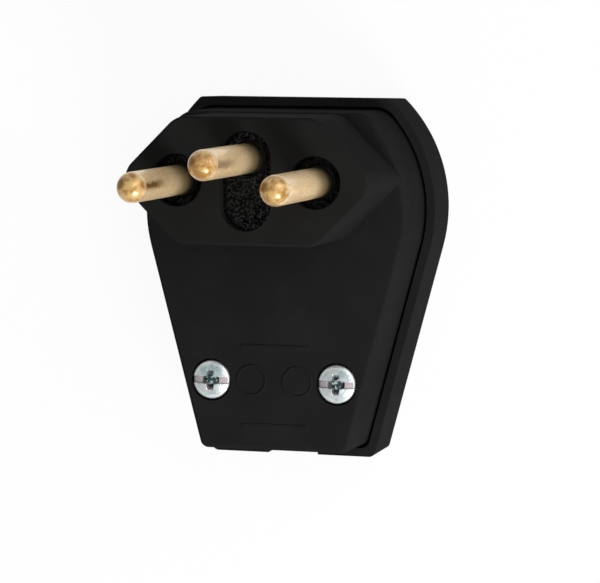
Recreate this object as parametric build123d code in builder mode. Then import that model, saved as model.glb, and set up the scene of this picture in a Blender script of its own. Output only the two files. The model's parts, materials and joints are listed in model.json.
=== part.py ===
from build123d import *
import math
import os

os.makedirs("parts", exist_ok=True)

# The plug lies on its flat back with its pins up, in millimetres. The origin is on the back, under the middle
# of the line and neutral pins, and the cord leaves towards -Y.

# Depths, measured along the pins
cover_depth = 8.9  # back to seam
shell_depth = 9.4  # seam to front face
boss_height = 12.6  # front face to boss face
pin_reach = 19.0  # boss face to pin tips
rebate_depth = 1.5  # how far the front shell sits inside the back cover

# Outline of the housing, as the front shell has it at its lower edge
head_edge = 8.8  # pin centre line to the flat edge at the head
head_radius = 19.35
head_centre_x = -0.9
head_centre_y = -4.75
side_taper = 15.0  # degrees, each side
cord_edge = 37.4  # pin centre line to the edge at the cord
head_corner = 3.5
cord_corner = 1.3
cover_head_corner = 0.8
cover_cord_corner = 0.9
least_corner = 0.5  # no corner of an outline is sharper
cover_rim = 1.15  # ledge of the back cover that shows round the front shell
seam_gap = 0.4

# Walls, drafts and rounded edges of the two mouldings
shell_wall = 2.0
shell_plate = 2.2
shell_draft = 0.6
cover_wall = 2.0
cover_floor = 2.0
cover_draft = 1.2
face_round = 0.6
cover_round = 0.6
rib = 1.2

# Boss: its slanted sides lie at 45 degrees and would meet at the reach
boss_half_width = 8.45
boss_reach = 18.1
boss_corner = 3.5
boss_point = 0.9  # rounding of the two points at their foot
boss_point_top = 3.2  # the same at the boss face
boss_round = 0.45
boss_wall = 1.6
boss_plate = 4.0
recess_radius = 3.5
recess_depth = 1.5
earth_recess_length = 13.2

# Pins
pin_pitch = 19.0
earth_offset = 3.0
pin_radius = 2.0
root_radius = 2.3  # thicker stretch inside the boss plate
pin_clearance = 0.08
collar_radius = 3.2
collar_height = 2.0
stem_radius = 2.2
stem_length = 12.5

# Screws: hole_clearance is for a plain hole, thread_clearance for a tapped one
hole_clearance = 0.2
thread_clearance = 0.05
tip_chamfer = 0.3
spare_depth = 1.0  # tapped hole past the end of its screw
slot_width = 0.8
slot_depth = 0.8

# Terminals on the ends of the pins
terminal_screw_radius = 1.5
terminal_screw_length = 6.0
terminal_head_radius = 2.5
terminal_head_height = 2.0
washer_side = 5.8
washer_thickness = 0.9
washer_lip = 0.6
washer_lip_height = 1.1

# Plate that holds the pins in the boss
retainer_thickness = 2.0
retainer_clearance = 0.25
sleeve_wall = 1.1
sleeve_height = 3.0
fin_height = 9.5
retainer_screw_x = 4.8
retainer_screw_y = -4.3
retainer_screw_radius = 1.1
retainer_screw_length = 4.5
retainer_head_radius = 1.9
retainer_head_height = 1.5
retainer_post_radius = 2.1

# Screws and nuts that hold the housing together
housing_screw_x = 8.9
housing_screw_y = -27.9
housing_screw_radius = 1.5
housing_head_radius = 2.65
housing_head_height = 2.4
housing_head_round = 1.2
cross_length = 3.0
cross_width = 0.8
cross_depth = 1.3
counterbore_radius = 2.9
counterbore_depth = 1.8
shell_post_radius = 3.4
cover_post_radius = 3.9
nut_flats = 5.5
nut_height = 2.4
nut_clearance = 0.1
thread_past_nut = 0.7

# Cord entry and the clamp behind it
cord_radius = 3.5
cord_clearance = 0.15
cord_height = 8.0  # cord axis above the back
guide_y = -32.3
clamp_y = -20.0
clamp_bite = 0.3  # how far the clamp squeezes the cord
clamp_drop = 0.5  # seat of the clamp below the cord axis
clamp_width = 6.0
clamp_thickness = 1.8
clamp_screw_x = 7.2
clamp_screw_radius = 1.45
clamp_screw_length = 6.5
clamp_head_radius = 2.4
clamp_head_height = 1.6
clamp_post_radius = 2.6
saddle_pitch = 3.6

# Barriers between the terminals, and the stiffening rib across the back cover
barrier_height = 8.5
barrier_start = -5.0
barrier_gap = 0.4
stiffener_y = -11.5
stiffener_height = 1.0

# Heights above the back that follow
seat = cover_depth - rebate_depth
front = cover_depth + shell_depth
plate_inside = front - shell_plate
boss_face = front + boss_height
boss_inside = boss_face - boss_plate
recess_floor = boss_face - recess_depth
collar_end = boss_inside - collar_height
retainer_back = collar_end - retainer_thickness
stem_end = collar_end - stem_length
washer_end = stem_end - washer_thickness
clamp_seat = cord_height - clamp_drop
nut_seat = seat - nut_height
head_seat = front - counterbore_depth

overhang = cover_rim + seam_gap
cord_bore = cord_radius + cord_clearance
clamp_bore = cord_radius - clamp_bite
barrier_x = pin_pitch / 4

pins = {"line": (-pin_pitch / 2, 0), "neutral": (pin_pitch / 2, 0), "earth": (0, earth_offset)}
sides = {"left": -1, "right": 1}
retainer_screws = [(side * retainer_screw_x, retainer_screw_y) for side in sides.values()]
housing_screws = [(side * housing_screw_x, housing_screw_y) for side in sides.values()]
clamp_screws = [(side * clamp_screw_x, clamp_y) for side in sides.values()]


def housing_outline(grow, head_round=head_corner, cord_round=cord_corner):
    # Flat edge at the head, round sides, then a taper to the flat edge at the cord, all moved out by grow
    radius = head_radius + grow
    top = head_edge + grow
    bottom = -cord_edge - grow
    taper = math.radians(side_taper)
    start = math.asin((top - head_centre_y) / radius)
    top_x = head_centre_x + radius * math.cos(start)
    centre = (head_centre_x, head_centre_y)
    tangent = (head_centre_x + radius * math.cos(taper), head_centre_y - radius * math.sin(taper))
    bottom_x = tangent[0] - (tangent[1] - bottom) * math.tan(taper)
    with BuildSketch() as outline:
        with BuildLine():
            CenterArc(centre, radius, math.degrees(start), -math.degrees(start + taper))
            Line(tangent, (bottom_x, bottom))
            mirror(about=Plane.YZ)
            Line((-top_x, top), (top_x, top))
            Line((-bottom_x, bottom), (bottom_x, bottom))
        make_face()
        fillet(outline.vertices().group_by(Axis.Y)[-1], max(least_corner, head_round + min(grow, 0)))
        fillet(outline.vertices().group_by(Axis.Y)[0], max(least_corner, cord_round + min(grow, 0)))
    return outline.sketch


def boss_outline(inset, point=boss_point):
    # Two flats beside the pins' centre line and two rounded points on it, all moved in by inset
    half = boss_half_width - inset
    reach = boss_reach - inset * math.sqrt(2)
    with BuildSketch() as outline:
        with BuildLine():
            Polyline((half - reach, half), (reach - half, half), (reach, 0), (reach - half, -half))
            Polyline((reach - half, -half), (half - reach, -half), (-reach, 0), (half - reach, half))
        make_face()
        corners = outline.vertices().group_by(Axis.Y)
        fillet(corners[0] + corners[-1], max(least_corner, boss_corner - inset))
        points = outline.vertices().sort_by(Axis.X)
        fillet([points[0], points[-1]], max(least_corner, point - inset))
    return outline.sketch


def cross_wall(y, thickness, grow):
    # Strip across the whole width of the housing's outline
    with BuildSketch() as wall:
        add(housing_outline(grow))
        with Locations((0, y)):
            Rectangle(4 * head_radius, thickness, mode=Mode.INTERSECT)
    return wall.sketch


def cord_plane(y):
    # Upright plane across the cord, with the cord's axis at its origin and its normal towards the cord's exit
    return Plane(origin=(0, y, cord_height), x_dir=(1, 0, 0), z_dir=(0, -1, 0))


def slotted_screw(x, y, underside, head_radius, head_height, screw_radius, length):
    # Screw that points up, its head hanging below the face that it clamps
    plane = Plane(origin=(x, y, underside), x_dir=(1, 0, 0), z_dir=(0, 0, -1))
    with BuildPart() as screw:
        with BuildSketch(plane):
            Circle(head_radius)
        extrude(amount=head_height)
        chamfer(screw.edges().sort_by(Axis.Z)[0], head_height / 5)
        with BuildSketch(plane.offset(head_height)):
            Rectangle(3 * head_radius, slot_width)
        extrude(amount=-min(slot_depth, head_height / 2), mode=Mode.SUBTRACT)
        with BuildSketch(plane):
            Circle(screw_radius)
        extrude(amount=-length)
        chamfer(screw.edges().sort_by(Axis.Z)[-1], tip_chamfer)
    return screw.part


with BuildPart() as front_shell:
    # Tray with drafted walls and a rounded front edge
    with BuildSketch(Plane.XY.offset(seat)):
        add(housing_outline(0))
    extrude(amount=front - seat)
    draft(front_shell.faces().filter_by(Axis.Z, reverse=True), Plane.XY.offset(seat), shell_draft)
    fillet(front_shell.faces().sort_by(Axis.Z)[-1].edges(), face_round)
    # Boss with points that are rounder towards its face
    with BuildSketch(Plane.XY.offset(plate_inside)):
        add(boss_outline(0))
    with BuildSketch(Plane.XY.offset(boss_face)):
        add(boss_outline(0, boss_point_top))
    loft(ruled=True)
    fillet(front_shell.faces().sort_by(Axis.Z)[-1].edges(), boss_round)
    # Hollows of the tray and of the boss
    with BuildSketch(Plane.XY.offset(seat)):
        add(housing_outline(-shell_wall))
    extrude(amount=plate_inside - seat, mode=Mode.SUBTRACT)
    with BuildSketch(Plane.XY.offset(plate_inside)):
        add(boss_outline(boss_wall))
    extrude(amount=boss_inside - plate_inside, mode=Mode.SUBTRACT)
    # Posts for the three pairs of screws
    with BuildSketch(Plane.XY.offset(seat)):
        with Locations(*housing_screws):
            Circle(shell_post_radius)
    extrude(amount=plate_inside - seat)
    with BuildSketch(Plane.XY.offset(clamp_seat)):
        with Locations(*clamp_screws):
            Circle(clamp_post_radius)
    extrude(amount=plate_inside - clamp_seat)
    with BuildSketch(Plane.XY.offset(collar_end)):
        with Locations(*retainer_screws):
            Circle(retainer_post_radius)
    extrude(amount=boss_inside - collar_end)
    # Guide wall behind the cord entry, and the two saddles that the clamp presses the cord against
    with BuildSketch(Plane.XY.offset(seat)):
        add(cross_wall(guide_y, rib, -shell_wall / 2))
    extrude(amount=plate_inside - seat)
    with BuildSketch(cord_plane(guide_y + rib)):
        Circle(cord_bore)
        with Locations((0, (seat - cord_height) / 2)):
            Rectangle(2 * cord_bore, cord_height - seat)
    extrude(amount=cord_edge + guide_y + 2 * rib, mode=Mode.SUBTRACT)
    with BuildSketch(Plane.XY.offset(cord_height)):
        with GridLocations(1, saddle_pitch, 1, 2):
            with Locations((0, clamp_y)):
                Rectangle(2 * clamp_screw_x - clamp_post_radius, rib)
    extrude(amount=plate_inside - cord_height)
    with BuildSketch(cord_plane(clamp_y + saddle_pitch)):
        Circle(clamp_bore)
    extrude(amount=2 * saddle_pitch, mode=Mode.SUBTRACT)
    # Pin holes and the recesses round the pins
    with BuildSketch(Plane.XY.offset(boss_inside)):
        with Locations(*pins.values()):
            Circle(root_radius + pin_clearance)
    extrude(amount=boss_plate, mode=Mode.SUBTRACT)
    with BuildSketch(Plane.XY.offset(recess_floor)):
        with Locations(pins["line"], pins["neutral"]):
            Circle(recess_radius)
        SlotOverall(earth_recess_length, 2 * recess_radius, rotation=90)
    extrude(amount=recess_depth, mode=Mode.SUBTRACT)
    # Screw holes
    with Locations(*[(x, y, front) for x, y in housing_screws]):
        CounterBoreHole(housing_screw_radius + hole_clearance, counterbore_radius, counterbore_depth)
    with BuildSketch(Plane.XY.offset(clamp_seat)):
        with Locations(*clamp_screws):
            Circle(clamp_screw_radius + thread_clearance)
    extrude(amount=clamp_screw_length - clamp_thickness, mode=Mode.SUBTRACT)
    with BuildSketch(Plane.XY.offset(collar_end)):
        with Locations(*retainer_screws):
            Circle(retainer_screw_radius + thread_clearance)
    extrude(amount=retainer_screw_length - retainer_thickness + spare_depth, mode=Mode.SUBTRACT)
front_shell.part.label = "front_shell"
export_step(front_shell.part, "parts/front_shell.step")

with BuildPart() as back_cover:
    # Shallow tray, drafted towards its back
    with BuildSketch():
        add(housing_outline(overhang, cover_head_corner, cover_cord_corner))
    extrude(amount=cover_depth)
    draft(back_cover.faces().filter_by(Axis.Z, reverse=True), Plane.XY.offset(cover_depth), -cover_draft)
    fillet(back_cover.faces().sort_by(Axis.Z)[0].edges(), cover_round)
    with BuildSketch(Plane.XY.offset(cover_floor)):
        add(housing_outline(overhang - cover_wall))
    extrude(amount=cover_depth - cover_floor, mode=Mode.SUBTRACT)
    # Rebate that the front shell drops into
    with BuildSketch(Plane.XY.offset(seat)):
        add(housing_outline(seam_gap))
    extrude(amount=rebate_depth, mode=Mode.SUBTRACT)
    # Posts with pockets for the nuts
    with BuildSketch(Plane.XY.offset(cover_floor)):
        with Locations(*housing_screws):
            Circle(cover_post_radius)
    extrude(amount=seat - cover_floor)
    with BuildSketch(Plane.XY.offset(nut_seat)):
        with Locations(*housing_screws):
            RegularPolygon(nut_flats / 2 + nut_clearance, 6, major_radius=False)
    extrude(amount=nut_height, mode=Mode.SUBTRACT)
    with BuildSketch(Plane.XY.offset(nut_seat)):
        with Locations(*housing_screws):
            Circle(housing_screw_radius + hole_clearance)
    extrude(amount=-thread_past_nut - 2 * tip_chamfer, mode=Mode.SUBTRACT)
    # Guide wall and notch for the cord
    with BuildSketch(Plane.XY.offset(cover_floor)):
        add(cross_wall(guide_y, rib, overhang - cover_wall / 2))
    extrude(amount=seat - cover_floor)
    with BuildSketch(cord_plane(guide_y + rib)):
        Circle(cord_bore)
    extrude(amount=cord_edge + guide_y + 2 * rib + overhang, mode=Mode.SUBTRACT)
    # Barriers between the terminals, and the stiffening rib
    barrier_end = head_edge - shell_wall - barrier_gap
    with BuildSketch(Plane.XY.offset(cover_floor)):
        with Locations(*[(side * barrier_x, (barrier_start + barrier_end) / 2) for side in sides.values()]):
            Rectangle(rib, barrier_end - barrier_start)
    extrude(amount=barrier_height)
    with BuildSketch(Plane.XY.offset(cover_floor)):
        add(cross_wall(stiffener_y, rib, overhang - cover_wall / 2))
    extrude(amount=stiffener_height)
back_cover.part.label = "back_cover"
export_step(back_cover.part, "parts/back_cover.step")

# Three equal turned pins: domed tip, root in the boss plate, collar behind it, stem with a tapped end
for name, (x, y) in pins.items():
    tip = boss_face + pin_reach
    tapped = stem_end + terminal_screw_length - washer_thickness + spare_depth
    bore = terminal_screw_radius + thread_clearance
    with BuildPart() as pin:
        with BuildSketch(Plane(origin=(x, y, 0), x_dir=(1, 0, 0), z_dir=(0, -1, 0))):
            with BuildLine():
                CenterArc((0, tip - pin_radius), pin_radius, 0, 90)
                Polyline(
                    (pin_radius, tip - pin_radius),
                    (pin_radius, recess_floor),
                    (root_radius, recess_floor),
                    (root_radius, boss_inside),
                    (collar_radius, boss_inside),
                    (collar_radius, collar_end),
                    (stem_radius, collar_end),
                    (stem_radius, stem_end),
                    (bore, stem_end),
                    (bore, tapped),
                    (0, tapped + bore / 2),
                    (0, tip),
                )
            make_face()
        revolve(axis=Axis((x, y, 0), (0, 0, 1)))
    pin.part.label = f"pin_{name}"
    export_step(pin.part, f"parts/pin_{name}.step")

    # Square washer whose two lips keep the wire under the screw
    with BuildPart() as washer:
        with BuildSketch(Plane.XY.offset(washer_end)):
            with Locations((x, y)):
                RectangleRounded(washer_side, washer_side, washer_lip)
                Circle(terminal_screw_radius + hole_clearance, mode=Mode.SUBTRACT)
        extrude(amount=washer_thickness)
        with BuildSketch(Plane.XY.offset(stem_end)):
            with Locations((x, y)):
                with GridLocations(washer_side - washer_lip, 1, 2, 1):
                    Rectangle(washer_lip, washer_side - 2 * washer_lip)
        extrude(amount=washer_lip_height)
    washer.part.label = f"clamp_washer_{name}"
    export_step(washer.part, f"parts/clamp_washer_{name}.step")

    terminal_screw = slotted_screw(
        x,
        y,
        washer_end,
        terminal_head_radius,
        terminal_head_height,
        terminal_screw_radius,
        terminal_screw_length,
    )
    terminal_screw.label = f"terminal_screw_{name}"
    export_step(terminal_screw, f"parts/terminal_screw_{name}.step")

with BuildPart() as pin_retainer:
    # Plate on the collars, with a sleeve round each stem and a fin between each two
    with BuildSketch(Plane.XY.offset(retainer_back)):
        add(boss_outline(boss_wall + retainer_clearance))
    extrude(amount=retainer_thickness)
    with BuildSketch(Plane.XY.offset(retainer_back)):
        with Locations(*pins.values()):
            Circle(stem_radius + hole_clearance + sleeve_wall)
        add(boss_outline(boss_wall + retainer_clearance), mode=Mode.INTERSECT)
    extrude(amount=-sleeve_height)
    fin_start = retainer_screw_y + retainer_head_radius + hole_clearance
    fin_end = boss_half_width - boss_wall - 2 * retainer_clearance
    with BuildSketch(Plane.XY.offset(retainer_back)):
        with Locations(*[(side * barrier_x, (fin_start + fin_end) / 2) for side in sides.values()]):
            Rectangle(rib, fin_end - fin_start)
    extrude(amount=-fin_height)
    with BuildSketch(Plane.XY.offset(collar_end)):
        with Locations(*pins.values()):
            Circle(stem_radius + hole_clearance)
    extrude(amount=-retainer_thickness - sleeve_height, mode=Mode.SUBTRACT)
    with BuildSketch(Plane.XY.offset(collar_end)):
        with Locations(*retainer_screws):
            Circle(retainer_screw_radius + hole_clearance)
    extrude(amount=-retainer_thickness, mode=Mode.SUBTRACT)
pin_retainer.part.label = "pin_retainer"
export_step(pin_retainer.part, "parts/pin_retainer.step")

with BuildPart() as cord_clamp:
    # Bar on its two posts, bent to an arch round the cord
    with BuildSketch(cord_plane(clamp_y + clamp_width / 2)):
        Circle(clamp_bore + clamp_thickness)
        with Locations((0, -clamp_drop)):
            half_bar = clamp_screw_x + clamp_post_radius
            above = (Align.CENTER, Align.MIN)
            Rectangle(2 * half_bar, 2 * half_bar, align=above, mode=Mode.SUBTRACT)
            Rectangle(2 * half_bar, clamp_thickness, align=(Align.CENTER, Align.MAX))
        Circle(clamp_bore, mode=Mode.SUBTRACT)
    extrude(amount=clamp_width)
    with BuildSketch(Plane.XY.offset(clamp_seat)):
        with Locations(*clamp_screws):
            Circle(clamp_screw_radius + hole_clearance)
    extrude(amount=-clamp_thickness, mode=Mode.SUBTRACT)
cord_clamp.part.label = "cord_clamp"
export_step(cord_clamp.part, "parts/cord_clamp.step")

for name, side in sides.items():
    retainer_screw = slotted_screw(
        side * retainer_screw_x,
        retainer_screw_y,
        retainer_back,
        retainer_head_radius,
        retainer_head_height,
        retainer_screw_radius,
        retainer_screw_length,
    )
    retainer_screw.label = f"retainer_screw_{name}"
    export_step(retainer_screw, f"parts/retainer_screw_{name}.step")

    clamp_screw = slotted_screw(
        side * clamp_screw_x,
        clamp_y,
        clamp_seat - clamp_thickness,
        clamp_head_radius,
        clamp_head_height,
        clamp_screw_radius,
        clamp_screw_length,
    )
    clamp_screw.label = f"clamp_screw_{name}"
    export_step(clamp_screw, f"parts/clamp_screw_{name}.step")

    # Pan-head screw with a slot and a cross, put in from the front
    x = side * housing_screw_x
    with BuildPart() as housing_screw:
        head_plane = Plane(origin=(x, housing_screw_y, head_seat))
        with BuildSketch(head_plane):
            Circle(housing_head_radius)
        extrude(amount=housing_head_height)
        fillet(housing_screw.edges().sort_by(Axis.Z)[-1], housing_head_round)
        with BuildSketch(head_plane.offset(housing_head_height)):
            Rectangle(3 * housing_head_radius, slot_width)
        extrude(amount=-slot_depth, mode=Mode.SUBTRACT)
        with BuildSketch(head_plane.offset(housing_head_height)):
            Rectangle(cross_length, cross_width)
            Rectangle(cross_width, cross_length)
        extrude(amount=-cross_depth, mode=Mode.SUBTRACT)
        with BuildSketch(head_plane):
            Circle(housing_screw_radius)
        extrude(amount=nut_seat - thread_past_nut - head_seat)
        chamfer(housing_screw.edges().sort_by(Axis.Z)[0], tip_chamfer)
    housing_screw.part.label = f"housing_screw_{name}"
    export_step(housing_screw.part, f"parts/housing_screw_{name}.step")

    with BuildPart() as housing_nut:
        with BuildSketch(Plane.XY.offset(nut_seat)):
            with Locations((x, housing_screw_y)):
                RegularPolygon(nut_flats / 2, 6, major_radius=False)
                Circle(housing_screw_radius + thread_clearance, mode=Mode.SUBTRACT)
        extrude(amount=nut_height)
    housing_nut.part.label = f"housing_nut_{name}"
    export_step(housing_nut.part, f"parts/housing_nut_{name}.step")
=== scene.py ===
import json

import bpy
import numpy as np
from mathutils import Matrix, Vector


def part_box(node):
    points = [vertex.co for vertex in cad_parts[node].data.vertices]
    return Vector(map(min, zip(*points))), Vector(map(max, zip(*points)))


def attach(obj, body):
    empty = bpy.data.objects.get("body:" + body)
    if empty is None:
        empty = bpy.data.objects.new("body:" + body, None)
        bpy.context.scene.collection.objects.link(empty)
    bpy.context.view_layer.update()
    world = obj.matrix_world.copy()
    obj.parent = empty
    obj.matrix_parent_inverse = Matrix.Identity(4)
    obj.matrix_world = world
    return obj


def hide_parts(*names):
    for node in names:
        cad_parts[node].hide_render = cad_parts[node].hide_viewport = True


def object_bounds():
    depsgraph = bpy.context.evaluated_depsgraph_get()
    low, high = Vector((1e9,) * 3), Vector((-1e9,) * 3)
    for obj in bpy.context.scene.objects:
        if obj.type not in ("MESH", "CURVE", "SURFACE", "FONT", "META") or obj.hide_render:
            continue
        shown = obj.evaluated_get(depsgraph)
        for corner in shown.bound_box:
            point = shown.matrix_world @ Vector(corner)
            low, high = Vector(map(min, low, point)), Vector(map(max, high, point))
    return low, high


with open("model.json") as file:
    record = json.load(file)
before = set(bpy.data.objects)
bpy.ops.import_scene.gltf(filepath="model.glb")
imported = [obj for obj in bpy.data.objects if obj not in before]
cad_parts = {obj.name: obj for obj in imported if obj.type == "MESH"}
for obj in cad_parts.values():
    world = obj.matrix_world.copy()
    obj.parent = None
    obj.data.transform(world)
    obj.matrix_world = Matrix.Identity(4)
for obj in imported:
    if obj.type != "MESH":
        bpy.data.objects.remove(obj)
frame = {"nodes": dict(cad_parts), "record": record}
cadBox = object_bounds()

# Three-pin plug lying on its flat back, pins up. Lengths in this script are millimetres, and toMetres puts
# them into the scene.
toMetres = 0.001
turn = 2 * np.pi
samePoint = 0.0001  # points nearer than this are merged
plainWhite = (1, 1, 1, 1)
print("frame loaded, nodes:", len(frame["nodes"]))


# Shader helpers

class Value:
    # One output of a node, on which + - * and ** add Math nodes
    def __init__(self, shade, socket):
        self.shade = shade
        self.socket = socket

    def __add__(self, other):
        return self.shade.math("ADD", self, other)

    def __sub__(self, other):
        return self.shade.math("SUBTRACT", self, other)

    def __rsub__(self, other):
        return self.shade.math("SUBTRACT", other, self)

    def __mul__(self, other):
        return self.shade.math("MULTIPLY", self, other)

    def __pow__(self, other):
        return self.shade.math("POWER", self, other)

    __radd__ = __add__
    __rmul__ = __mul__


class Nodes:
    # A node tree, of a material or of the world, whose nodes are added by node()
    def __init__(self, tree):
        self.tree = tree
        tree.nodes.clear()

    def node(self, kind, settings=None, inputs=None, output=0):
        # The settings are set first, then each socket gets its value or its link
        made = self.tree.nodes.new(kind)
        for name, value in (settings or {}).items():
            setattr(made, name, value)
        for name, value in (inputs or {}).items():
            if isinstance(value, Value):
                self.tree.links.new(value.socket, made.inputs[name])
            else:
                made.inputs[name].default_value = value
        return Value(self, made.outputs[output]) if made.outputs else None

    def math(self, operation, first, second=0.0):
        return self.node("ShaderNodeMath", {"operation": operation}, {0: first, 1: second})

    def seenDirectly(self):
        # 1 for rays from the camera, from gloss and through glass, 0 for the light that falls on things
        seen = self.node("ShaderNodeLightPath", output="Is Camera Ray")
        for output in ("Is Glossy Ray", "Is Transmission Ray"):
            seen = self.math("MAXIMUM", seen, self.node("ShaderNodeLightPath", output=output))
        return seen


class Shade(Nodes):
    # A material in millimetres of the object's own place, whose surface comes from surface()
    def __init__(self, name):
        self.material = bpy.data.materials.new(name)
        self.material.use_nodes = True
        super().__init__(self.material.node_tree)
        place = self.node("ShaderNodeTexCoord", output="Object")
        scaled = {0: place, "Scale": 1 / toMetres}
        self.place = self.node("ShaderNodeVectorMath", {"operation": "SCALE"}, scaled)
        self.x, self.y, self.z = (
            self.node("ShaderNodeSeparateXYZ", {}, {0: self.place}, output=axis) for axis in "XYZ"
        )

    def noise(self, scale, detail=2.0, roughness=0.5, place=None):
        inputs = {"Vector": place or self.place, "Scale": scale, "Detail": detail, "Roughness": roughness}
        return self.node("ShaderNodeTexNoise", {}, inputs)

    def stretched(self, x, y, z):
        # The place with each axis times its own number, for grain that runs one way
        return self.node("ShaderNodeVectorMath", {"operation": "MULTIPLY"}, {0: self.place, 1: (x, y, z)})

    def step(self, value, low, high):
        # 0 below low, 1 above high and a smooth rise between
        inputs = {"Value": value, "From Min": low, "From Max": high}
        return self.node("ShaderNodeMapRange", {"interpolation_type": "SMOOTHSTEP"}, inputs)

    def mix(self, amount, first, second):
        # A colour Mix node has its factor and its two colours on sockets 0, 6 and 7, its result on output 2
        first, second = (value if isinstance(value, Value) else (*value, 1) for value in (first, second))
        inputs = {0: amount, 6: first, 7: second}
        return self.node("ShaderNodeMix", {"data_type": "RGBA"}, inputs, output=2)

    def bump(self, height, distance, normal=None):
        inputs = {"Height": height, "Distance": distance * toMetres, "Strength": 1.0}
        if normal:
            inputs["Normal"] = normal
        return self.node("ShaderNodeBump", {}, inputs)

    def surface(self, inputs):
        shader = self.node("ShaderNodeBsdfPrincipled", {}, inputs)
        self.node("ShaderNodeOutputMaterial", {}, {"Surface": shader})
        return self.material


# Surface helpers

def gridMesh(name, points, aroundV=False):
    # points has the shape (u, v, 3): quads between neighbours, closed round in u, and in v where asked
    countU, countV = points.shape[:2]
    v = np.arange(countV if aroundV else countV - 1)
    here, there = np.meshgrid(np.arange(countU), v, indexing="ij")
    nextU = (here + 1) % countU
    nextV = (there + 1) % countV
    corners = (here * countV + there, nextU * countV + there, nextU * countV + nextV, here * countV + nextV)
    quads = np.stack(corners, axis=-1).reshape(-1, 4)
    return name, points.reshape(-1, 3), quads


def joinGrids(name, grids):
    # Several grids as one list of points and one of quads
    starts = np.cumsum([0] + [len(points) for _, points, _ in grids])
    points = np.concatenate([points for _, points, _ in grids])
    quads = np.concatenate([quads + start for (_, _, quads), start in zip(grids, starts)])
    return name, points, quads


def addPiece(grid, material, replaced=()):
    # Doubles at poles and seams are merged, quads that lose a side there become triangles, and the piece
    # rides on root
    name, points, quads = grid
    mesh = bpy.data.meshes.new(name)
    mesh.from_pydata((points * toMetres).tolist(), [], quads.tolist())
    mesh.validate()
    mesh.materials.append(material)
    piece = bpy.data.objects.new(name, mesh)
    bpy.context.scene.collection.objects.link(piece)
    weld = piece.modifiers.new("weld", "WELD")
    weld.merge_threshold = samePoint * toMetres
    mesh.shade_smooth()
    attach(piece, "root")
    if replaced:
        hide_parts(*replaced)


def lathe(radius, height, centre, count):
    # A profile carried round an upright axis: x = centre + radius x cos of the angle, y = centre + radius x
    # sin of the angle, z = height
    angle = np.arange(count)[:, None] / count * turn
    x = centre[0] + radius[None, :] * np.cos(angle)
    y = centre[1] + radius[None, :] * np.sin(angle)
    return np.stack([x, y, np.broadcast_to(height[None, :], x.shape)], axis=-1)


def centreOf(node):
    low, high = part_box(node)
    return (low.x + high.x) / 2 / toMetres, (low.y + high.y) / 2 / toMetres


def heightsOf(node):
    low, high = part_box(node)
    return low.z / toMetres, high.z / toMetres


# Camera, floor and light

view = {
    "eye": (126.128, 24.078, 420.602),
    "right": (0.956599, 0.003858, -0.291381),  # the camera's own three axes
    "up": (-0.030944, 0.995604, -0.088408),
    "back": (0.289759, 0.093587, 0.952513),
    "lens": 187.98,
    "sensor": 36,
    "nearest": 10,
    "farthest": 100000,
}


def addCamera(settings):
    camera = bpy.data.cameras.new("camera")
    camera.lens = settings["lens"]
    camera.sensor_width = settings["sensor"]
    camera.clip_start = settings["nearest"] * toMetres
    camera.clip_end = settings["farthest"] * toMetres
    held = bpy.data.objects.new("camera", camera)
    turned = Matrix((settings["right"], settings["up"], settings["back"])).transposed()
    held.matrix_world = Matrix.LocRotScale(Vector(settings["eye"]) * toMetres, turned.to_quaternion(), None)
    bpy.context.scene.collection.objects.link(held)
    bpy.context.scene.camera = held


# Each lamp stands in the direction towards, at that distance from the middle of the plug
studio = {
    "world": 0.27,  # light from all round
    "spark": {"towards": (0.53, -0.62, 0.58), "distance": 420, "size": 165, "watts": 1.5},
    "key": {"towards": (0.53, -0.62, 0.58), "distance": 420, "size": 360, "watts": 0.3},
    "soft": {"towards": (0.72, 0.40, 0.56), "distance": 600, "size": 700, "watts": 2.1},
    "low": {"towards": (-0.35, -0.75, 0.55), "distance": 600, "size": 350, "watts": 0.1},
}
floorLook = {
    "width": 1600,
    "paper": (0.9, 0.9, 0.9, 1),
    "drop": 0.03,  # below the back of the plug
    "shown": 0.93,  # share of the floor that is plain white to the camera, the rest takes the shadow
}


def addLamp(name, settings, target):
    lamp = bpy.data.lights.new(name, "AREA")
    lamp.shape = "DISK"
    lamp.size = settings["size"] * toMetres
    lamp.energy = settings["watts"]
    held = bpy.data.objects.new(name, lamp)
    towards = Vector(settings["towards"]).normalized()
    held.location = target + towards * settings["distance"] * toMetres
    held.rotation_mode = "QUATERNION"
    held.rotation_quaternion = (-towards).to_track_quat("-Z", "Y")
    bpy.context.scene.collection.objects.link(held)


def addFloor(settings):
    # One square a little below the plug
    half = settings["width"] / 2
    x = np.array([-half, half, half, -half])
    y = np.array([-half, -half, half, half])
    z = np.full(4, cadBox[0].z / toMetres - settings["drop"])
    mesh = bpy.data.meshes.new("floor")
    mesh.from_pydata((np.stack([x, y, z], axis=-1) * toMetres).tolist(), [], [(0, 1, 2, 3)])
    floor = bpy.data.objects.new("floor", mesh)
    bpy.context.scene.collection.objects.link(floor)
    shade = Shade("floor white")
    paper = shade.node("ShaderNodeBsdfDiffuse", {}, {"Color": settings["paper"]})
    white = shade.node("ShaderNodeEmission", {}, {"Color": plainWhite, "Strength": 1.0})
    shown = shade.seenDirectly() * settings["shown"]
    shader = shade.node("ShaderNodeMixShader", {}, {0: shown, 1: paper, 2: white})
    shade.node("ShaderNodeOutputMaterial", {}, {"Surface": shader})
    mesh.materials.append(shade.material)


def addWorld(strength):
    # Grey light on things, and plain white where it is seen
    world = bpy.data.worlds.new("studio")
    bpy.context.scene.world = world
    world.use_nodes = True
    around = Nodes(world.node_tree)
    grey = around.node("ShaderNodeBackground", {}, {"Color": plainWhite, "Strength": strength})
    white = around.node("ShaderNodeBackground", {}, {"Color": plainWhite, "Strength": 1.0})
    mixed = around.node("ShaderNodeMixShader", {}, {0: around.seenDirectly(), 1: grey, 2: white})
    around.node("ShaderNodeOutputWorld", {}, {"Surface": mixed})


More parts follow.
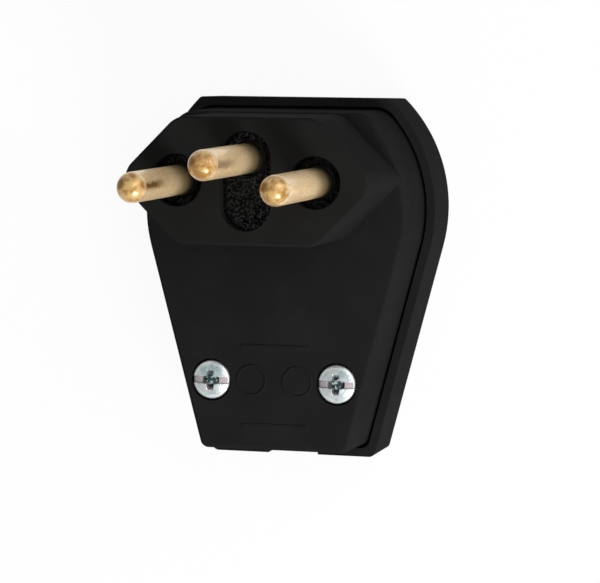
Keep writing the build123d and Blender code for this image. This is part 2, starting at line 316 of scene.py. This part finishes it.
addCamera(view)
addFloor(floorLook)
addWorld(studio["world"])
middle = (cadBox[0] + cadBox[1]) / 2
for lampName in ("spark", "key", "soft", "low"):
    addLamp(lampName, studio[lampName], middle)
bpy.context.scene.view_settings.view_transform = "Standard"
print("camera, floor and light ready")


# Heights on the plug are told from its boss face, where the pins come out
bossFace = heightsOf("front_shell")[1]


# Black moulded plastic

housing = {
    "colour": (0.0128, 0.0128, 0.0126),
    "marked": (0.0150, 0.0150, 0.0148),
    "wornFrom": (0.35, 0.75),  # cloudiness at which the marked colour starts and is full
    "roughness": 0.6,
    "roughnessVaries": 0.12,
    "gloss": 0.0012,
    "grain": 7.0,  # grains per mm
    "grainDepth": 0.010,
    "clouds": 0.16,  # clouds per mm
    "recessLow": 1.8,  # the floors round the pins lie between these depths below the boss face
    "recessHigh": 0.7,
    "recessFades": (0.1, 0.3),  # height over which their finish fades, at the bottom and at the top
    "recessUpward": (0.5, 0.8),  # how far a face has to look up to be part of a floor
    # Painted shade: the recess floors are coloured darker than the face
    "recessColour": (0.0035, 0.0035, 0.0033),
    "recessGrain": 3.6,  # grains per mm
    "recessLumps": 2.88,  # lumps per mm
    "recessDepth": 0.22,
    "cellShare": 0.6,  # of the cells in the height, beside the lumps
    "glint": 0.5,  # coat on the lumps of the middle recess floor
    "glintSides": 0.2,  # and of the two at the sides
    "glintFrom": (0.45, 0.66),  # height of a lump at which the coat starts and is full
    "glintRoughness": 0.22,
    "sidesFrom": (4.2, 5.0),  # distance from the middle plane at which the side recesses start
}


def blackPlastic(settings):
    # Fine satin grain, faint clouds from the moulding, and coarse spark-eroded grain on the recess floors,
    # which are painted darker as shade: height = grain x its depth, and on those floors also (share x distance
    # to the nearest cell + lumps) x their depth
    shade = Shade("black plastic")
    grain = shade.noise(settings["grain"], detail=3)
    clouds = shade.noise(settings["clouds"], detail=4)
    plain = shade.mix(shade.step(clouds, *settings["wornFrom"]), settings["colour"], settings["marked"])
    fine = shade.bump(grain, settings["grainDepth"])
    # The recess floors are the faces that look up between two heights
    floorLow = bossFace - settings["recessLow"]
    floorHigh = bossFace - settings["recessHigh"]
    fadeLow, fadeHigh = settings["recessFades"]
    facing = shade.node("ShaderNodeNewGeometry", output="True Normal")
    facingUp = shade.node("ShaderNodeSeparateXYZ", {}, {0: facing}, output="Z")
    upward = shade.step(facingUp, *settings["recessUpward"])
    above = shade.step(shade.z, floorLow, floorLow + fadeLow)
    recess = above * (1 - shade.step(shade.z, floorHigh - fadeHigh, floorHigh)) * upward
    cellInputs = {"Vector": shade.place, "Scale": settings["recessGrain"]}
    cells = shade.node("ShaderNodeTexVoronoi", {}, cellInputs)
    lumps = shade.noise(settings["recessLumps"], detail=4, roughness=0.7)
    coarse = (cells * settings["cellShare"] + lumps) * recess
    # The coat glints on the lumps, less so in the side recesses
    aside = shade.step(shade.math("ABSOLUTE", shade.x), *settings["sidesFrom"])
    glint = settings["glint"] + aside * (settings["glintSides"] - settings["glint"])
    varies = settings["roughnessVaries"]
    return shade.surface({
        "Base Color": shade.mix(recess, plain, settings["recessColour"]),
        "Roughness": settings["roughness"] + (grain - 0.5) * varies - recess * varies,
        "Specular IOR Level": settings["gloss"],
        "Coat Weight": recess * shade.step(lumps, *settings["glintFrom"]) * glint,
        "Coat Roughness": settings["glintRoughness"],
        "Normal": shade.bump(coarse, settings["recessDepth"], normal=fine),
    })


inside = {
    "colour": (0.045, 0.045, 0.043),
    "pale": (0.062, 0.061, 0.058),
    "flow": 0.6,  # flow marks per mm
    "flowStretch": (0.3, 1, 1),
    "roughness": 0.5,
    "roughnessVaries": 0.15,
    "gloss": 0.35,
    "grain": 4.0,  # grains per mm
    "grainDepth": 0.01,
}


def innerPlastic(settings):
    # Dark grey moulding with faint flow marks along X: height = grain x its depth
    shade = Shade("inner plastic")
    flow = shade.noise(settings["flow"], detail=3, place=shade.stretched(*settings["flowStretch"]))
    grain = shade.noise(settings["grain"])
    return shade.surface({
        "Base Color": shade.mix(flow, settings["colour"], settings["pale"]),
        "Roughness": settings["roughness"] + (grain - 0.5) * settings["roughnessVaries"],
        "Specular IOR Level": settings["gloss"],
        "Normal": shade.bump(grain, settings["grainDepth"]),
    })


plasticBlack = blackPlastic(housing)
plasticInner = innerPlastic(inside)
print("plastics ready")


# Plain relief on the front face

relief = {
    "bossHeight": 12.6,  # from the front face to the boss face
    "height": 0.13,
    "sunk": 0.05,  # into the front face
    "bars": ((0.2, -23.2, 10.0, 0.8), (0.2, -34.1, 9.6, 1.0)),  # x, y, length, width
    "rings": ((-3.1, -27.8, 2.0, 0.45), (3.4, -27.8, 2.0, 0.45)),  # x, y, radius, width
    "around": 96,
    "barRows": 13,
    "ringRows": 16,
}


def reliefBar(x, y, length, width, front, settings):
    # A stadium with a round top: place = nearest end of the middle line + half width x cos v outwards,
    # height = relief x sin v above the face, and sunk x sin v below it
    u = np.arange(settings["around"])[:, None] / settings["around"] * turn
    v = np.linspace(-np.pi / 2, np.pi / 2, settings["barRows"])
    end = np.sign(np.cos(u)) * (length - width) / 2
    across = width / 2 * np.cos(v)
    lift = np.where(v > 0, settings["height"], settings["sunk"]) * np.sin(v)
    xs = x + end + across * np.cos(u)
    return np.stack([xs, y + across * np.sin(u), front + np.broadcast_to(lift, xs.shape)], axis=-1)


def reliefRing(x, y, radius, width, front, settings):
    # The same round section carried round a circle: distance from its middle = radius + half width x cos v
    u = np.arange(settings["around"])[:, None] / settings["around"] * turn
    v = np.arange(settings["ringRows"]) / settings["ringRows"] * turn
    away = radius + width / 2 * np.cos(v)
    lift = np.where(np.sin(v) > 0, settings["height"], settings["sunk"]) * np.sin(v)
    xs = x + away * np.cos(u)
    return np.stack([xs, y + away * np.sin(u), front + np.broadcast_to(lift, xs.shape)], axis=-1)


front = bossFace - relief["bossHeight"]
grids = [gridMesh("bar", reliefBar(*place, front, relief)) for place in relief["bars"]]
grids += [gridMesh("ring", reliefRing(*place, front, relief), aroundV=True) for place in relief["rings"]]
addPiece(joinGrids("face_relief", grids), plasticBlack)
print("relief ready")


# Pins

pin = {
    "radius": 2.0,
    "rootRadius": 2.3,
    "collarRadius": 3.2,
    "stemRadius": 2.2,
    "boreRadius": 1.55,  # of the tapped hole in the stem
    "boreDepth": 6.1,
    "rootTop": 1.9,  # this and the next two are depths below the boss face
    "collarTop": 4.0,
    "collarBottom": 6.0,
    "edge": 0.12,  # rounding of the turned edges
    "firstRow": 0.2,  # of the shank, above its root
    "around": 96,
    "along": 24,
    "domeRows": 30,
    "brass": (0.86, 0.65, 0.39),
    "gold": (0.56, 0.36, 0.13),
    "amber": (0.30, 0.14, 0.018),
    "brown": (0.14, 0.06, 0.008),
    # olive and dark paint the shade at the pin's root and the black recess mirrored in it
    "olive": (0.10, 0.07, 0.018),
    "dark": (0.012, 0.011, 0.007),
    # Patterns, in marks per mm
    "turning": 9.0,
    "turningStretch": (0.05, 0.05, 1),
    "runs": 0.5,
    "runsStretch": (1.0, 1.0, 0.25),
    "clouds": 0.9,
    "specks": 3.5,
    # A From pair says where a mark starts and where it is full, Ragged how uneven its edge is, Share how
    # strong it is
    "speckFrom": (0.42, 0.64),
    "speckShare": 0.6,
    "domeFrom": (2.1, 0.9),  # below the tip
    "domeRagged": 0.9,
    "stainFrom": (0.36, 0.66),
    "stainRagged": 0.35,
    "spot": (-0.55, 0.25, 0.8),  # middle of the painted reflection spot on the dome, in pin radii from the middle of its ball
    "spotFrom": (0.05, 0.9),  # square of the distance from it
    "spotRagged": 0.8,
    "spotShare": 0.75,
    # Strength of the dark streak below each dome, a painted reflection, and radians from +X to it
    "streaks": {"line": (0.95, 0.13), "neutral": (0.12, 0.3), "earth": (0.6, 0.0)},
    "streakTop": 1.5,  # below the tip, as the bottom is
    "streakBottom": 10.5,
    "streakFades": (0.6, 3),  # its top edge, and where below its top the fade from the bottom ends
    "streakFrom": (0.1, 0.8),  # distance to either side of its middle
    "streakOutward": (0.3, 1.0),  # distance from the axis, which keeps it on one side
    "streakRagged": 0.8,
    "runsFrom": (0.6, 0.75),
    "runsShare": 0.2,
    # Where the painted shade and reflection at the root start and are full, in mm above the boss face
    "oliveFrom": (0.5, 7),  # above the boss face
    "oliveRagged": 3,
    "oliveShare": 0.9,
    "darkFrom": (-0.4, 1.6),
    "metallic": 0.4,
    "metallicLost": 0.3,  # at the dark root
    "roughness": 0.36,
    "cloudRoughness": 0.14,
    "turnedRoughness": 0.08,
    "rootRoughness": 0.3,
    "gloss": 0.1,
    "coat": 0.4,
    "domeCoat": 0.5,  # more of it on the dome
    "coatLost": 0.8,  # on the spot
    "coatRoughness": 0.07,
    "turnedShare": 0.6,  # of the tool marks in the height, the rest is specks
    "bumpDepth": 0.006,
}


def arc(radius, height, size, start, stop, count=7):
    # (radius, height) + size x (cos, sin) of the angle, which runs from start to stop in degrees
    angle = np.radians(np.linspace(start, stop, count))
    return np.stack([radius + size * np.cos(angle), height + size * np.sin(angle)], axis=-1)


def pinProfile(settings, bottom, top):
    # Out of the bore and its pointed end, round the stem's end, up the stem, round the collar, up the shank
    # and over the dome, whose radius and height are the ball's size x cos and sin of the angle
    edge = settings["edge"]
    bore = settings["boreRadius"]
    boreTop = bottom + settings["boreDepth"]
    stem = settings["stemRadius"]
    collar = settings["collarRadius"]
    root = settings["rootRadius"]
    radius = settings["radius"]
    rootTop = bossFace - settings["rootTop"]
    collarTop = bossFace - settings["collarTop"]
    collarBottom = bossFace - settings["collarBottom"]
    shank = np.linspace(rootTop + settings["firstRow"], top - radius, settings["along"])
    rows = settings["domeRows"]
    profile = np.concatenate([
        np.array([[0, boreTop + bore / 2], [bore, boreTop], [bore, bottom + edge], [bore + edge, bottom]]),
        arc(stem - edge, bottom + edge, edge, -90, 0),
        np.array([[stem, collarBottom]]),
        arc(collar - edge, collarBottom + edge, edge, -90, 0),
        arc(collar - edge, collarTop - edge, edge, 0, 90),
        np.array([[root, collarTop]]),
        arc(root - edge, rootTop - edge, edge, 0, 90),
        np.array([[radius, rootTop]]),
        np.stack([np.full(shank.shape, radius), shank], axis=-1),
        arc(0, top - radius, radius, 90 / rows, 90, rows),
    ])
    return profile[:, 0], profile[:, 1]


def reflectionSpotMask(shade, settings, x, y, top, clouds):
    # The dark spot of painted reflection to one side of the dome's top = 1 - step of the squared distance from
    # its middle
    spotX, spotY, spotZ = (settings["radius"] * share for share in settings["spot"])
    away = (x - spotX) ** 2 + (y - spotY) ** 2 + (shade.z - (top - settings["radius"] + spotZ)) ** 2
    return 1 - shade.step(away + (clouds - 0.5) * settings["spotRagged"], *settings["spotFrom"])


def reflectionStreakMask(shade, settings, name, x, y, top, clouds):
    # The streak of painted reflection = (1 - step of the distance from the upright plane through it and the
    # axis) x step of the distance outwards x steps of the height x strength
    strength, side = settings["streaks"][name]
    sideX = float(np.cos(side))
    sideY = float(np.sin(side))
    across = shade.math("ABSOLUTE", y * sideX - x * sideY + (clouds - 0.5) * settings["streakRagged"])
    outward = shade.step(x * sideX + y * sideY, *settings["streakOutward"])
    start = top - settings["streakTop"]
    fadeTop, fadeBottom = settings["streakFades"]
    above = shade.step(shade.z, top - settings["streakBottom"], start - fadeBottom)
    between = (1 - shade.step(shade.z, start - fadeTop, start)) * above
    return (1 - shade.step(across, *settings["streakFrom"])) * outward * between * strength


def brassSkin(settings, name):
    # Turned brass: rings from the tool, an amber dome with a stain and a dark spot of painted reflection, one
    # dark streak of painted reflection below it, and a root that goes olive and then dark as painted shade and
    # painted reflection of the black recess. Each mask is a smooth step of a height, a distance or a noise, to
    # which (noise - 0.5) x raggedness is added for an uneven edge
    shade = Shade("brass " + name)
    top = heightsOf("pin_" + name)[1]
    centreX, centreY = centreOf("pin_" + name)
    x = shade.x - centreX
    y = shade.y - centreY
    rings = shade.noise(settings["turning"], place=shade.stretched(*settings["turningStretch"]))
    runs = shade.noise(settings["runs"], detail=3, place=shade.stretched(*settings["runsStretch"]))
    clouds = shade.noise(settings["clouds"], detail=3)
    specks = shade.noise(settings["specks"], detail=4, roughness=0.65)
    speckled = shade.step(specks, *settings["speckFrom"]) * settings["speckShare"]
    body = shade.mix(speckled, settings["brass"], settings["gold"])
    domeLow, domeHigh = (top - depth for depth in settings["domeFrom"])
    dome = shade.step(shade.z + (clouds - 0.5) * settings["domeRagged"], domeLow, domeHigh)
    stain = shade.step(clouds + (specks - 0.5) * settings["stainRagged"], *settings["stainFrom"])
    domed = shade.mix(dome, body, shade.mix(stain, settings["gold"], settings["amber"]))
    # A dark spot of painted reflection on the dome
    spot = reflectionSpotMask(shade, settings, x, y, top, clouds)
    spotted = shade.mix(spot * settings["spotShare"], domed, settings["brown"])
    # A dark streak of painted reflection, to which runs of dirt are added
    streak = reflectionStreakMask(shade, settings, name, x, y, top, clouds)
    dirtAndReflection = streak + shade.step(runs, *settings["runsFrom"]) * settings["runsShare"]
    marked = shade.mix(dirtAndReflection, spotted, settings["brown"])
    # Painted shade and painted reflection of the black recess at the root: olive near the boss face, then dark
    oliveLow, oliveHigh = (bossFace + height for height in settings["oliveFrom"])
    olive = 1 - shade.step(shade.z + (specks - 0.5) * settings["oliveRagged"], oliveLow, oliveHigh)
    withRootShade = shade.mix(olive * settings["oliveShare"], marked, settings["olive"])
    rootLow, rootHigh = (bossFace + height for height in settings["darkFrom"])
    root = 1 - shade.step(shade.z, rootLow, rootHigh)
    uneven = (clouds - 0.5) * settings["cloudRoughness"]
    turned = (rings - 0.5) * settings["turnedRoughness"]
    coat = settings["coat"] + dome * settings["domeCoat"]
    height = rings * settings["turnedShare"] + specks * (1 - settings["turnedShare"])
    return shade.surface({
        "Base Color": shade.mix(root, withRootShade, settings["dark"]),
        "Metallic": settings["metallic"] - root * settings["metallicLost"],
        "Roughness": settings["roughness"] + uneven + turned + root * settings["rootRoughness"],
        "Specular IOR Level": settings["gloss"],
        "Coat Weight": coat * (1 - root) * (1 - spot * settings["coatLost"]),
        "Coat Roughness": settings["coatRoughness"],
        "Normal": shade.bump(height, settings["bumpDepth"]),
    })


pinNames = ("line", "neutral", "earth")
for name in pinNames:
    node = "pin_" + name
    radius, height = pinProfile(pin, *heightsOf(node))
    grid = gridMesh("turned_pin_" + name, lathe(radius, height, centreOf(node), pin["around"]))
    addPiece(grid, brassSkin(pin, name), (node,))
print("pins ready")


# Screws

# side is +1 for a head at the front and -1 for one that hangs below. A cross has the length and width of the
# whole cross, not of half of it
housingScrew = {
    "head": 2.65, "headHeight": 2.4, "crown": 0.75, "rim": 0.26, "side": 1,
    "slotWidth": 0.9, "slotDepth": 0.24, "crossLength": 3.0, "crossWidth": 1.05, "crossDepth": 1.3,
    "shank": 1.5, "pitch": 0.5, "around": 288,
}
terminalScrew = {
    "head": 2.5, "headHeight": 2.0, "crown": 0.12, "rim": 0.2, "side": -1,
    "slotWidth": 0.8, "slotDepth": 0.8, "crossDepth": 0,
    "shank": 1.5, "pitch": 0.5, "around": 120,
}
retainerScrew = dict(terminalScrew, head=1.9, headHeight=1.5, shank=1.1, pitch=0.4, slotDepth=0.7)
clampScrew = dict(terminalScrew, head=2.4, headHeight=1.6, shank=1.45, pitch=0.6)

# Shares and lengths that all the screws have in common
screwForm = {
    "soft": 0.06,  # rounding of the edges of slot and cross
    "armWide": 1.15,  # width of a cross arm at the axis, in cross widths
    "armTaper": 0.35,  # that it loses up to its end
    "armFloor": 0.6,  # share of its half width that is full depth
    "armEnd": 0.4,  # share of its half length from which it rises
    "crownRows": 48,
    "rimRows": 7,
    "chamfer": 0.1,  # under the head
    "threadDepth": 0.55,  # in pitches
    "threadFrom": (0.2, 0.9),  # distance below the head over which the thread starts
    "threadEnd": 0.8,  # distance from the tip at which it starts to grow shallow
    "threadLost": 0.4,  # share of its depth that is lost there
    "tip": 0.3,  # length of the cone at the end, and of the shank inside the head
    "tipRadius": 0.75,
    "rowsPerPitch": 6,
    "around": 72,
}

plating = {
    "zinc": (0.46, 0.50, 0.50),
    "blue": (0.28, 0.36, 0.37),
    "pink": (0.50, 0.43, 0.45),
    "rimHighlight": (0.64, 0.67, 0.67),  # painted highlight on a head's rim
    "floor": (0.36, 0.31, 0.32),  # of the slot
    "teal": (0.035, 0.07, 0.07),  # painted shade in the cross, tinted teal
    "crystals": 2.2,  # crystals per mm
    "tint": 0.7,  # patches of colour per mm
    "blueFrom": (0.35, 0.6),  # tint from which the blue gives way to plain zinc
    "pinkFrom": (0.55, 0.75),
    "pinkShare": 0.6,
    "scratches": 14.0,  # scratches per mm
    "scratchStretch": (1, 0.08, 0.3),
    "metallic": 0.6,
    "metallicCross": 0.4,  # more of it in the cross
    "roughness": 0.30,
    "roughnessVaries": 0.2,
    "crystalShare": 0.6,  # of the crystals in the height, the rest is scratches
    "bumpDepth": 0.012,
    "turned": 6.0,  # rings per mm on the crown
    "turnedShare": 2,
    "rimFrom": (0.75, 0.25),  # distance inside the head's edge at which the painted rim highlight starts and is full
    "rimRagged": 0.6,
    "rimShare": 0.8,
    "rimEdge": 0.1,  # over which slot and cross end at the rim
    "slotFrom": (0.3, 0.8),  # share of the slot's depth at which its colour starts and is full
    "crossFrom": (0.15, 0.6),  # depth below the slot's
    "crossRagged": 1.1,
    "bareFrom": (0.5, 0.58),  # crystals at which the cross keeps the plain zinc instead of its painted shade
}


def zincPlate(settings, name, screw=None, middle=(0, 0), top=0):
    # Bright zinc: cloudy crystals, faint blue and pink of the passivation and fine scratches, and on a head
    # also rings by the distance from its axis and a painted highlight on its rim. depth = height of the crown
    # - height of the place, which tints the slot and darkens the cross with painted shade
    shade = Shade(name)
    crystals = shade.noise(settings["crystals"], detail=3)
    tint = shade.noise(settings["tint"])
    scratches = shade.noise(settings["scratches"], place=shade.stretched(*settings["scratchStretch"]))
    blue = shade.mix(shade.step(tint, *settings["blueFrom"]), settings["blue"], settings["zinc"])
    pinkish = shade.step(tint, *settings["pinkFrom"]) * settings["pinkShare"]
    colour = shade.mix(pinkish, blue, settings["pink"])
    metallic = settings["metallic"]
    height = crystals * settings["crystalShare"] + scratches * (1 - settings["crystalShare"])
    if screw:
        square = (shade.x - middle[0]) ** 2 + (shade.y - middle[1]) ** 2
        out = square ** 0.5
        ringInputs = {"W": out, "Scale": settings["turned"]}
        rings = shade.node("ShaderNodeTexNoise", {"noise_dimensions": "1D"}, ringInputs)
        height = height + rings * settings["turnedShare"]
        # The rim of the head is painted lighter: a painted highlight
        rimLow, rimHigh = (screw["head"] - inset for inset in settings["rimFrom"])
        highlightedRim = shade.step(out + (crystals - 0.5) * settings["rimRagged"], rimLow, rimHigh)
        colour = shade.mix(highlightedRim * settings["rimShare"], colour, settings["rimHighlight"])
        depth = top - shade.z - square * (screw["crown"] / screw["head"] ** 2)
        crownEdge = screw["head"] - screw["rim"]
        within = 1 - shade.step(out, crownEdge - settings["rimEdge"], crownEdge)
        slotLow, slotHigh = (screw["slotDepth"] * share for share in settings["slotFrom"])
        slot = shade.step(depth, slotLow, slotHigh) * within
        # The cross is darkened to teal by depth: painted shade in the recess
        crossLow, crossHigh = (screw["slotDepth"] + below for below in settings["crossFrom"])
        cross = shade.step(depth + (crystals - 0.5) * settings["crossRagged"], crossLow, crossHigh)
        colour = shade.mix(slot, colour, settings["floor"])
        mottled = shade.mix(shade.step(crystals, *settings["bareFrom"]), settings["teal"], settings["zinc"])
        colour = shade.mix(cross * within, colour, mottled)
        metallic = metallic + cross * settings["metallicCross"]
    return shade.surface({
        "Base Color": colour,
        "Metallic": metallic,
        "Roughness": settings["roughness"] + (crystals - 0.5) * settings["roughnessVaries"],
        "Normal": shade.bump(height, settings["bumpDepth"]),
    })


def rise(value, low, high):
    # 0 below low, 1 above high and a smooth rise between
    share = np.clip((value - low) / (high - low), 0, 1)
    return share * share * (3 - 2 * share)


def recessDepth(settings, form, x, y):
    # The deeper of the slot, which is its depth x (1 - rise of |y| at its half width), and of each tapered arm
    # of the cross, which is its depth x (1 - rise across it) x (1 - rise along it)
    soft = form["soft"]
    slotHalf = settings["slotWidth"] / 2
    deep = (1 - rise(np.abs(y), slotHalf - soft, slotHalf + soft)) * settings["slotDepth"]
    if settings["crossDepth"]:
        half = settings["crossLength"] / 2
        for along, across in ((x, y), (y, x)):
            taper = form["armWide"] - form["armTaper"] * np.clip(np.abs(along) / half, 0, 1)
            width = settings["crossWidth"] / 2 * taper
            narrow = 1 - rise(np.abs(across), width * form["armFloor"], width + soft)
            arm = narrow * (1 - rise(np.abs(along), half * form["armEnd"], half))
            deep = np.maximum(deep, arm * settings["crossDepth"])
    return deep


def headSurface(settings, form):
    # From the axis out: z = height - crown x (r / head)^2 - rounding of the rim - recess(x, y), then down the
    # side and back to the axis under the head
    head, rim = settings["head"], settings["rim"]
    flat, chamfer = form["crownRows"], form["chamfer"]
    bend = np.linspace(0, np.pi / 2, form["rimRows"])[1:]
    radius = np.concatenate([np.linspace(0, head - rim, flat), head - rim + rim * np.sin(bend)])
    drop = np.concatenate([np.zeros(flat), rim * (1 - np.cos(bend))])
    angle = np.arange(settings["around"])[:, None] / settings["around"] * turn
    x = radius * np.cos(angle)
    y = radius * np.sin(angle)
    crowned = settings["headHeight"] - settings["crown"] * (radius / head) ** 2 - drop
    z = crowned - recessDepth(settings, form, x, y)
    under = np.array([head, head - chamfer, head / 2, 0])
    low = np.broadcast_to(np.array([chamfer, 0, 0, 0]), (settings["around"], len(under)))
    x = np.concatenate([x, under * np.cos(angle)], axis=1)
    y = np.concatenate([y, under * np.sin(angle)], axis=1)
    return np.stack([x, y, np.concatenate([z, low], axis=1)], axis=-1)


def shankSurface(settings, form, length):
    # radius = shank - thread depth x (1 - triangle wave of (distance / pitch - angle / turn)), from inside
    # the head to the tip, and closed at both ends
    pitch = settings["pitch"]
    around, tip = form["around"], form["tip"]
    angle = np.arange(around)[:, None] / around * turn
    along = np.linspace(0, length - tip, int(length / pitch) * form["rowsPerPitch"])
    wave = np.abs(((along / pitch - angle / turn) % 1) - 0.5) * 2
    shallow = 1 - form["threadLost"] * rise(along, length - form["threadEnd"], length - tip)
    fade = rise(along, *form["threadFrom"]) * shallow
    radius = settings["shank"] - pitch * form["threadDepth"] * (1 - wave) * fade
    ends = np.full((around, 1), settings["shank"])
    closed = np.zeros((around, 1))
    radius = np.concatenate([closed, ends, radius, radius[:, -1:] * form["tipRadius"], closed], axis=1)
    x = radius * np.cos(angle)
    y = radius * np.sin(angle)
    z = np.concatenate([[tip, tip], -along, [-length, -length]])
    return np.stack([x, y, np.broadcast_to(z, x.shape)], axis=-1)


def addScrew(node, settings, material):
    # Head and shank on their seat. Both run outwards and down, so they are reversed for faces that point out
    low, high = heightsOf(node)
    side = settings["side"]
    seat = high - settings["headHeight"] if side > 0 else low + settings["headHeight"]
    length = high - low - settings["headHeight"]
    grids = []
    for points in (headSurface(settings, screwForm), shankSurface(settings, screwForm, length)):
        placed = points * (1, side, side) + (*centreOf(node), seat)
        grids.append(gridMesh("part", placed[::-1]))
    addPiece(joinGrids("threaded_" + node, grids), material, (node,))


steel = zincPlate(plating, "plated steel")
for side in ("left", "right"):
    node = "housing_screw_" + side
    headSteel = zincPlate(plating, "plated head " + side, housingScrew, centreOf(node), heightsOf(node)[1])
    addScrew(node, housingScrew, headSteel)
    addScrew("retainer_screw_" + side, retainerScrew, steel)
    addScrew("clamp_screw_" + side, clampScrew, steel)
for name in pinNames:
    addScrew("terminal_screw_" + name, terminalScrew, steel)
print("screws ready")


# Finishes of the CAD nodes that stay

finishes = {"black_plastic": plasticBlack, "inner_plastic": plasticInner, "plated_steel": steel}
for part in frame["record"]["subparts"]:
    shown = frame["nodes"][part["node"]]
    if part["material_slot"] in finishes and not shown.hide_render:
        shown.data.materials.clear()
        shown.data.materials.append(finishes[part["material_slot"]])
print("finishes ready")
